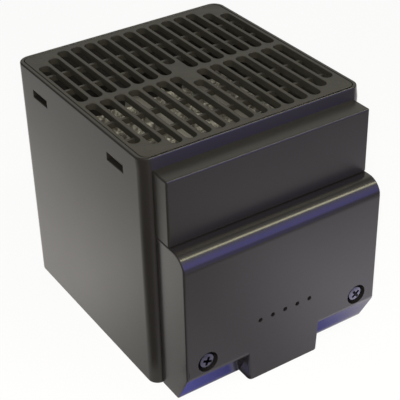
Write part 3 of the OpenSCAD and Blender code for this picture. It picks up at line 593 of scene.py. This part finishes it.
class HEATER_OT_outlet_grille(bpy.types.Operator):
    """Outlet grille with rounded slots, sunk cross bars and four latches"""

    bl_idname = "heater.outlet_grille"
    bl_label = "Outlet grille"

    def execute(self, context):
        g = context.scene.heater_grille
        edge = (g.columns - 1) // 2
        inner = edge - 2
        rows = [
            (-inner * g.pitch, g.pitch, inner, g.mid_bar / 2, g.slot_end),
            (g.pitch, g.pitch, inner, g.mid_bar / 2, g.slot_end),
            (0.0, g.pitch, 1, g.centre / 2, g.slot_end),
        ]
        for k in (1, 2):
            x = (inner + k) * g.pitch
            rows.append((-x, 2 * x, 2, g.mid_bar / 2, g.slot_end - k * g.corner_step))
        third = (g.slot_end - g.mid_bar / 2) / 3
        bars = [(s * (g.mid_bar / 2 + third), s * third) for s in (-1, 1)]

        # Latch: a flat arm with a wedge-shaped hook, drawn in X and Z down from the top face
        arm = [(38.7, -1.5), (40.0, -1.5), (40.0, -7.3), (41.3, -7.3), (41.3, -8.4), (40.0, -10.5)]
        arm.append((38.7, -10.5))
        bm = bmesh.new()
        ends = []
        for y in (-g.latch_w / 2, g.latch_w / 2):
            ends.append([bm.verts.new((x * MM, y, z * MM)) for x, z in arm])
        bm.faces.new(ends[0])
        bm.faces.new(ends[1][::-1])
        for i in range(len(arm)):
            j = (i + 1) % len(arm)
            bm.faces.new((ends[0][i], ends[1][i], ends[1][j], ends[0][j]))
        bmesh.ops.recalc_face_normals(bm, faces=bm.faces)
        piece = new_piece("slotted_outlet_grille", bm)
        grow(
            piece, grille_tree(rows, bars),
            {"Width": g.plate_w, "Depth": g.plate_d, "Thickness": g.plate_t, "Corner": g.corner,
             "Lip": g.lip, "Slot width": g.slot_w,
             "Bar size": (g.plate_w - g.bar_short, g.bar_w, g.bar_h), "Bar drop": g.bar_drop,
             "Latch place": g.latch_y, "Place": (0, MIDDLE, TOP),
             "Material": FINISHES["grille_plastic"]},
            join=5e-5,
        )
        shade(piece)
        mount(piece, "grille_plastic", "outlet_grille")
        return {"FINISHED"}


def fin_tree():
    """Sheet folded to and fro between two plates, set beside each heater bar."""
    tree, given, result = new_tree(
        "folded_fins",
        {"Walls": "Int", "Pitch": "Float", "Reach": "Float", "Height": "Float", "Sheet": "Float",
         "Bend": "Float", "Left": "Vector", "Right": "Vector", "Step": "Vector", "Material": "Material"},
    )
    count = add(tree, MATH, {0: given["Walls"], 1: 2.0}, operation="MULTIPLY")
    line = add(tree, LINE, {"Count": count, "Offset": (0, 0, 0.001)})
    index = add(tree, "GeometryNodeInputIndex")
    halved = add(tree, MATH, {0: index, 1: 0.5}, operation="MULTIPLY")
    wall = add(tree, MATH, {0: halved}, operation="FLOOR")
    end = add(tree, MATH, {0: index, 1: 2.0}, operation="MODULO")
    swing = add(tree, MATH, {0: wall, 1: 2.0}, operation="MODULO")
    signed = add(tree, MATH, {0: swing, 1: 2.0, 2: -1.0}, operation="MULTIPLY_ADD")
    x = add(tree, MATH, {0: signed, 1: given["Reach"]}, operation="MULTIPLY")
    crest = add(tree, MATH, {0: end, 1: 0.3, 2: wall}, operation="MULTIPLY_ADD")
    middle = add(tree, MATH, {0: given["Walls"], 1: -0.5, 2: crest}, operation="MULTIPLY_ADD")
    y = add(tree, MATH, {0: middle, 1: given["Pitch"]}, operation="MULTIPLY")
    where = add(tree, COMBINE, {"X": x, "Y": y})
    folds = add(tree, "GeometryNodeSetPosition", {"Geometry": line, "Position": where})
    path = add(tree, "GeometryNodeMeshToCurve", {"Mesh": folds})
    corners = {"Curve": path, "Radius": given["Bend"], "Count": 4, "Limit Radius": True}
    bent = add(tree, FILLET, corners, mode="POLY")
    upright = add(tree, "GeometryNodeSetCurveNormal", {"Curve": bent}, mode="Z_UP")
    strip = add(tree, RECTANGLE, {"Width": given["Sheet"], "Height": given["Height"]})
    swept = {"Curve": upright, "Profile Curve": strip, "Fill Caps": True}
    sheet = add(tree, "GeometryNodeCurveToMesh", swept)
    strips = []
    for side in ("Left", "Right"):
        points = add(tree, LINE, {"Count": 3, "Start Location": given[side], "Offset": given["Step"]})
        strips.append(add(tree, INSTANCES, {"Points": points, "Instance": sheet}))
    return end_tree(tree, given, result, add(tree, JOIN, {"Geometry": strips}))


class HEATER_OT_fins(bpy.types.Operator):
    """Folded aluminium fins beside the heater bars"""

    bl_idname = "heater.fins"
    bl_label = "Fins"

    def execute(self, context):
        f = context.scene.heater_fins
        beside = (f.bar_t + f.strip_w) / 2
        level = f.foot + f.height / 2
        piece = new_piece("folded_fin_strips", bmesh.new())
        grow(
            piece, fin_tree(),
            {"Walls": f.walls, "Pitch": f.pitch, "Reach": (f.strip_w - f.sheet) / 2, "Height": f.height,
             "Sheet": f.sheet, "Bend": f.bend, "Left": (-f.bar_step - beside, MIDDLE, level),
             "Right": (-f.bar_step + beside, MIDDLE, level), "Step": (f.bar_step, 0, 0),
             "Material": FINISHES["fin_aluminium"]},
        )
        shade(piece, 30)
        mount(piece, "fin_aluminium", *("fin_strip_%d" % i for i in range(1, 7)))
        return {"FINISHED"}


def screw_tree():
    """The screw given as geometry, set at two places and turned a little differently at each."""
    sizes = {"First": "Vector", "Step": "Vector", "Material": "Material"}
    tree, given, result = new_tree("screw_pair", sizes)
    points = add(tree, LINE, {"Count": 2, "Start Location": given["First"], "Offset": given["Step"]})
    index = add(tree, "GeometryNodeInputIndex")
    turn = add(tree, MATH, {0: index, 1: 0.55, 2: 0.38}, operation="MULTIPLY_ADD")
    way = add(tree, COMBINE, {"Y": turn})
    row = add(tree, INSTANCES, {"Points": points, "Instance": given["Geometry"], "Rotation": way})
    return end_tree(tree, given, result, row)


def turned_screw(name, head, height, shank, reach):
    """Pan-head screw along +Y, the underside of its head at the origin, with a tapered cross recess."""
    r = head / 2
    dome = ((0, 1), (0.55, 0.98), (0.8, 0.88), (0.94, 0.68), (1, 0.4), (1, 0))  # in radii and heights
    outline = [(r * out, -height * up) for out, up in dome]
    outline += [(shank / 2, 0), (shank / 2, reach - shank * 0.3), (shank * 0.3, reach), (0, reach)]
    bm = bmesh.new()
    ring = [bm.verts.new((x, y, 0)) for x, y in outline]
    for a, b in zip(ring, ring[1:]):
        bm.edges.new((a, b))
    whole = bm.verts[:] + bm.edges[:]
    bmesh.ops.spin(bm, geom=whole, cent=(0, 0, 0), axis=(0, 1, 0), angle=math.tau, steps=40)
    bmesh.ops.remove_doubles(bm, verts=bm.verts, dist=1e-6)
    bmesh.ops.recalc_face_normals(bm, faces=bm.faces)
    piece = new_piece(name, bm)

    bm = bmesh.new()
    for turn in (0, math.pi / 2):
        made = bmesh.ops.create_cube(bm, size=1)["verts"]
        for v in made:
            deep = v.co.y > 0
            v.co.x *= head * (0.24 if deep else 0.68)
            v.co.z *= head * (0.1 if deep else 0.18)
            v.co.y = -height * (0.35 if deep else 1.3)
        bmesh.ops.rotate(bm, verts=made, cent=(0, 0, 0), matrix=Matrix.Rotation(turn, 3, "Y"))
    cutter = new_piece(name + "_cutter", bm)
    cross = piece.modifiers.new("recess", "BOOLEAN")
    cross.operation = "DIFFERENCE"
    cross.solver = "EXACT"
    cross.use_self = True
    cross.object = cutter
    bake(piece, 1e-6)
    bpy.data.objects.remove(cutter)
    return piece


class HEATER_OT_screws(bpy.types.Operator):
    """Pan-head screws: blackened ones in the cover, zinc-plated ones in the rail clip"""

    bl_idname = "heater.screws"
    bl_label = "Screws"

    def execute(self, context):
        s = context.scene.heater_screws
        pair = screw_tree()
        low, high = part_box("clip_screws")
        clip_shank = high[1] - low[1] - s.clip_head_h
        clip_reach = high[0] - s.clip_head_d / 2
        cover = turned_screw("cover_screw_pair", s.head_d, s.head_h, s.shank_d, SHANK_REACH)
        clip = turned_screw("clip_screw_pair", s.clip_head_d, s.clip_head_h, s.clip_shank_d, clip_shank)
        clip.data.transform(Matrix.Rotation(math.pi, 4, "Z"))
        clip_first = (-clip_reach, high[1] - s.clip_head_h, (low[2] + high[2]) / 2)
        for piece, slot, node, first, span in (
            (cover, "oxide_steel", "cover_screws", (-s.span / 2, FRONT - SCREW_SEAT, s.height), s.span),
            (clip, "zinc_steel", "clip_screws", clip_first, 2 * clip_reach),
        ):
            places = {"First": first, "Step": (span, 0, 0), "Material": FINISHES[slot]}
            grow(piece, pair, places, join=1e-6)
            shade(piece, 30)
            mount(piece, slot, node)
        return {"FINISHED"}


# Studio


def paper_finish(studio):
    """Matt white paper that takes the heater's shadow. The camera sees it nearly white, except in the
    dark under the heater. Reflections see a painted reflection in its place: painted light to the left,
    painted shade on the camera's side and in front of the tab, and a painted blue reflection under the
    overhang and far off in front."""
    paper, tree, shader, place = new_finish("matt_paper")
    feed(shader, {"Base Color": opaque(studio.paper), "Roughness": 0.9})
    glow = add(tree, "ShaderNodeEmission", {"Color": (1, 1, 1, 1), "Strength": 1.0})
    seen = add(tree, "ShaderNodeLightPath").outputs
    from_middle = add(tree, VECTOR_MATH, {0: place, 1: (0, -MIDDLE, 0)}, operation="ADD")
    spread = add(tree, VECTOR_MATH, {0: from_middle}, operation="ABSOLUTE")
    sides = add(tree, SEPARATE, {0: spread}).outputs
    widest = add(tree, MATH, {0: sides["X"], 1: sides["Y"]}, operation="MAXIMUM")
    outside = add(tree, MATH, {0: widest, 1: DARK_HALF}, operation="GREATER_THAN")
    white = add(tree, MATH, {0: outside, 1: 0.9}, operation="MULTIPLY")
    share = add(tree, MATH, {0: seen["Is Camera Ray"], 1: white}, operation="MULTIPLY")
    plain = add(tree, MIX_SHADER, {0: share, 1: shader, 2: glow})

    # Smooth ramps over the floor, in metres, that place the painted reflection and its painted shade
    from_edge = add(tree, VECTOR_MATH, {0: place, 1: (HALF_WIDTH, -FRONT, 0)}, operation="ADD")
    way = add(tree, VECTOR_MATH, {0: from_edge}, operation="NORMALIZE")
    facing = add(tree, VECTOR_MATH, {0: way, 1: (-0.84, -0.54, 0)}, operation="DOT_PRODUCT")
    far_off = add(tree, VECTOR_MATH, {0: from_edge}, operation="LENGTH")
    beside_tab = add(tree, VECTOR_MATH, {0: place, 1: (1.57, 1, 0)}, operation="DOT_PRODUCT")
    in_lane = add(tree, VECTOR_MATH, {0: place, 1: (1, 0.516, 0)}, operation="DOT_PRODUCT")
    from_lane = add(tree, MATH, {0: in_lane.outputs["Value"], 1: -0.027}, operation="SUBTRACT")
    off_lane = add(tree, MATH, {0: from_lane}, operation="ABSOLUTE")
    axes = add(tree, SEPARATE, {0: place}).outputs
    ramps = {}
    for name, value, start, end, low, high in (
        ("lane", off_lane, 0.075, 0.045, 0.0, 1.0),
        ("dark", facing.outputs["Value"], 0.35, 0.95, 0.0, 0.9),
        ("apart", far_off.outputs["Value"], 0.004, 0.010, 0.0, 1.0),
        ("left", axes["X"], -0.12, -0.05, 0.72, 1.68),
        ("deep", axes["Y"], -0.035, 0.035, 0.45, 1.0),
        ("right", axes["X"], -0.01, 0.05, 0.72, 1.6),
        ("away", axes["Y"], -0.17, -0.06, 0.25, 1.2),
        ("distant", axes["Y"], -0.14, -0.3, 0.0, 1.0),
        ("tab_front", axes["Y"], -0.0570, -0.0550, 0.0, 0.92),
        ("tab_back", beside_tab.outputs["Value"], -0.0680, -0.0705, 0.0, 1.0),
        ("tab_left", axes["X"], -0.0180, -0.0150, 0.0, 1.0),
        ("tab_side", axes["X"], -0.0136, -0.0148, 0.0, 1.0),
        ("pale", axes["X"], 0.015, 0.05, 0.0, 1.0),
        ("aside", axes["X"], -0.045, -0.03, 0.0, 1.0),
        ("front", axes["Y"], -0.045, -0.06, 0.3, 1.0),
        ("near", axes["Y"], -0.0557, -0.0525, 0.0, 1.0),
        ("far", axes["Y"], -0.0485, -0.0495, 0.0, 1.0),
        ("begin", axes["X"], -0.0396, -0.0386, 0.0, 1.0),
        ("end", axes["X"], 0.06, 0.05, 0.0, 1.0),
    ):
        limits = {"From Min": start, "From Max": end, "To Min": low, "To Max": high}
        ramps[name] = add(tree, MAP_RANGE, {"Value": value, **limits}, interpolation_type="SMOOTHSTEP")

    # Painted light on the paper, seen in reflections, with painted shade on the camera's side and in front of
    # the tab
    left = add(tree, MATH, {0: ramps["left"], 1: ramps["deep"]}, operation="MULTIPLY")
    right = add(tree, MATH, {0: ramps["right"], 1: ramps["away"]}, operation="MULTIPLY")
    beside = add(tree, MIX, {"Factor": ramps["aside"], "A": left, "B": right})
    # Painted shade on the camera's side
    wedge = add(tree, MATH, {0: ramps["dark"], 1: ramps["apart"]}, operation="MULTIPLY")
    # Painted shade in front of the tab
    foot = ramps["tab_front"]
    for name in ("tab_back", "tab_left", "tab_side"):
        foot = add(tree, MATH, {0: foot, 1: ramps[name]}, operation="MULTIPLY")
    painted_shade = add(tree, MATH, {0: wedge, 1: foot}, operation="MAXIMUM")
    open_share = add(tree, MATH, {0: 1.0, 1: painted_shade}, operation="SUBTRACT")
    bright = add(tree, MATH, {0: open_share, 1: beside}, operation="MULTIPLY")
    tones = {6: opaque(studio.walls), 7: opaque(studio.front)}
    cast = add(tree, MIX, {"Factor": ramps["front"], **tones}, data_type="RGBA").outputs[2]
    warm = add(tree, "ShaderNodeEmission", {"Color": cast, "Strength": bright})

    # Painted blue reflection under the overhang, and far off in a lane in front
    far_blue_reflection = add(tree, MATH, {0: ramps["distant"], 1: ramps["lane"]}, operation="MULTIPLY")
    near_by = add(tree, MATH, {0: 1.0, 1: far_blue_reflection}, operation="SUBTRACT")
    pale = add(tree, MATH, {0: ramps["pale"], 1: near_by}, operation="MULTIPLY")
    patch = ramps["near"]
    clear = add(tree, MATH, {0: 1.0, 1: foot}, operation="SUBTRACT")
    for limit in (ramps["far"], ramps["begin"], ramps["end"], clear):
        patch = add(tree, MATH, {0: patch, 1: limit}, operation="MULTIPLY")
    patch = add(tree, MATH, {0: patch, 1: far_blue_reflection}, operation="MAXIMUM")
    outward = add(tree, MATH, {0: axes["X"]}, operation="ABSOLUTE")
    weak, strong = studio.window_glow * 0.12, studio.window_glow * 0.36
    limits = {"From Min": 0.012, "From Max": 0.045, "To Min": weak, "To Max": strong}
    blue_reflection_strength = add(tree, MAP_RANGE, {"Value": outward, **limits})
    tones = {6: opaque(studio.cloth), 7: opaque(studio.front)}
    hue = add(tree, MIX, {"Factor": pale, **tones}, data_type="RGBA").outputs[2]
    blue = add(tree, "ShaderNodeEmission", {"Color": hue, "Strength": blue_reflection_strength})
    painted_reflection = add(tree, MIX_SHADER, {0: patch, 1: warm, 2: blue})
    # Reflections see the painted reflection in place of the paper
    rays = {0: seen["Is Glossy Ray"], 1: seen["Is Transmission Ray"]}
    mirrored = add(tree, MATH, rays, operation="MAXIMUM")
    whole = add(tree, MIX_SHADER, {0: mirrored, 1: plain, 2: painted_reflection})
    feed(tree.nodes["Material Output"], {"Surface": whole})
    return paper


def studio_air(studio):
    """White world that lights all round. Reflections see a painted room with a blue window in front."""
    world = bpy.data.worlds.new("studio_air")
    world.use_nodes = True
    tree = world.node_tree
    seen = add(tree, "ShaderNodeLightPath").outputs
    level = add(tree, MAP_RANGE, {"Value": seen["Is Camera Ray"], "To Min": studio.fill, "To Max": 1.0})
    air = feed(tree.nodes["Background"], {"Color": (1, 1, 1, 1), "Strength": level})
    way = add(tree, SEPARATE, {0: add(tree, "ShaderNodeTexCoord").outputs["Generated"]}).outputs

    # Smooth ramps over the direction that place the painted reflection; overhead the painted room is
    # dark behind and bright towards the strip lamp
    ramps = {}
    for name, axis, start, end, low, high in (
        ("ahead", "Y", -0.05, -0.35, 0.0, 1.0),
        ("rising", "Z", -0.15, 0.2, 0.0, 1.0),
        ("ending", "Z", 0.85, 0.38, 0.0, 1.0),
        ("left_edge", "X", 0.26, 0.36, 0.0, 1.0),
        ("right_edge", "X", 0.66, 0.54, 0.0, 1.0),
        ("above", "Z", 0.1, 0.5, 0.12, 1.0),
        ("rightward", "X", -0.45, 0.1, 0.2, 1.0),
        ("high", "Z", 0.68, 0.84, 0.0, 1.0),
        ("behind", "Y", -0.35, 0.25, 1.2, 0.15),
    ):
        limits = {"From Min": start, "From Max": end, "To Min": low, "To Max": high}
        ramps[name] = add(tree, MAP_RANGE, {"Value": way[axis], **limits}, interpolation_type="SMOOTHSTEP")
    pane = ramps["rising"]
    for name in ("ending", "ahead", "left_edge", "right_edge"):
        pane = add(tree, MATH, {0: pane, 1: ramps[name]}, operation="MULTIPLY")
    overhead = add(tree, MIX, {"Factor": ramps["high"], "A": 1.0, "B": ramps["behind"]})
    bright = ramps["above"]
    for limit in (ramps["rightward"], overhead):
        bright = add(tree, MATH, {0: bright, 1: limit}, operation="MULTIPLY")
    walls = add(tree, "ShaderNodeBackground", {"Color": opaque(studio.walls), "Strength": bright})
    glass = {"Color": opaque(studio.window), "Strength": studio.window_glow}
    window = add(tree, "ShaderNodeBackground", glass)
    room = add(tree, MIX_SHADER, {0: pane, 1: walls, 2: window})
    # Only reflections see the painted room and window; other rays see the white air
    rays = {0: seen["Is Glossy Ray"], 1: seen["Is Transmission Ray"]}
    mirrored = add(tree, MATH, rays, operation="MAXIMUM")
    whole = add(tree, MIX_SHADER, {0: mirrored, 1: air, 2: room})
    feed(tree.nodes["World Output"], {"Surface": whole})
    return world


class HEATER_OT_stage(bpy.types.Operator):
    """White studio with painted reflections, soft light and the camera"""

    bl_idname = "heater.stage"
    bl_label = "Stage"

    def execute(self, context):
        scene = context.scene
        studio = scene.heater_studio
        scene.view_settings.view_transform = "Standard"
        scene.world = studio_air(studio)

        bm = bmesh.new()
        bmesh.ops.create_grid(bm, x_segments=1, y_segments=1, size=1.5)
        floor = new_piece("paper_floor", bm)
        floor.data.materials.append(paper_finish(studio))

        middle = Vector((0, 0, TOP / 2))
        behind_camera = Vector(studio.place) * 1.03
        for name, power, tint, place, size in (
            ("key_softbox", studio.key, studio.walls, behind_camera, (0.03, 0.03)),
            ("overhead_strip", studio.top, studio.strip, Vector((0.271, -0.278, 0.547)), (0.36, 0.085)),
        ):
            lamp = bpy.data.lights.new(name, "AREA")
            lamp.shape = "RECTANGLE"
            lamp.size, lamp.size_y = size
            lamp.energy = power
            lamp.color = tint
            box = bpy.data.objects.new(name, lamp)
            scene.collection.objects.link(box)
            back = (place - middle).normalized()
            across = (Vector((1, 0, 0)) - back * back.x).normalized()
            turn = Matrix((across, back.cross(across), back)).transposed().to_4x4()
            box.matrix_world = Matrix.Translation(place) @ turn
            box.visible_glossy = name != "key_softbox"

        data = bpy.data.cameras.new("camera")
        data.lens = studio.lens
        data.sensor_width = 36
        data.shift_x = (IMAGE / 2 - AXIS[0]) / IMAGE
        data.shift_y = (AXIS[1] - IMAGE / 2) / IMAGE
        data.clip_start = 0.01
        camera = bpy.data.objects.new("camera", data)
        scene.collection.objects.link(camera)
        az, el = studio.azimuth, studio.elevation
        back = Vector((math.sin(az) * math.cos(el), -math.cos(az) * math.cos(el), math.sin(el)))
        right = (-back).cross(Vector((0, 0, 1))).normalized()
        down = (-back).cross(right)
        across = right * math.cos(studio.roll) + down * math.sin(studio.roll)
        up = right * math.sin(studio.roll) - down * math.cos(studio.roll)
        turn = Matrix((across, up, back)).transposed().to_4x4()
        camera.matrix_world = Matrix.Translation(studio.place) @ turn
        scene.camera = camera
        return {"FINISHED"}


class HEATER_PT_panel(bpy.types.Panel):
    """Steps that dress the heater, and their settings"""

    bl_label = "Enclosure heater"
    bl_space_type = "VIEW_3D"
    bl_region_type = "UI"
    bl_category = "Heater"

    def draw(self, context):
        for step in STEPS:
            self.layout.operator(step.bl_idname)
        for group in GROUPS:
            for key in GROUPS[group].__annotations__:
                self.layout.prop(getattr(context.scene, group), key)


STEPS = (
    HEATER_OT_finishes, HEATER_OT_mouldings, HEATER_OT_outlet_grille, HEATER_OT_fins, HEATER_OT_screws,
    HEATER_OT_stage,
)
GROUPS = {
    "heater_grille": HeaterGrille, "heater_fins": HeaterFins, "heater_screws": HeaterScrews,
    "heater_finish": HeaterFinish, "heater_studio": HeaterStudio,
}


def register():
    for cls in (*GROUPS.values(), *STEPS, HEATER_PT_panel):
        bpy.utils.register_class(cls)
    for name, group in GROUPS.items():
        setattr(bpy.types.Scene, name, PointerProperty(type=group))


def unregister():
    for name in GROUPS:
        delattr(bpy.types.Scene, name)
    for cls in (HEATER_PT_panel, *reversed(STEPS), *reversed(GROUPS.values())):
        bpy.utils.unregister_class(cls)


def main():
    register()
    bpy.ops.heater.finishes()
    bpy.ops.heater.mouldings()
    bpy.ops.heater.outlet_grille()
    bpy.ops.heater.fins()
    bpy.ops.heater.screws()
    bpy.ops.heater.stage()


if __name__ == "__main__":
    main()
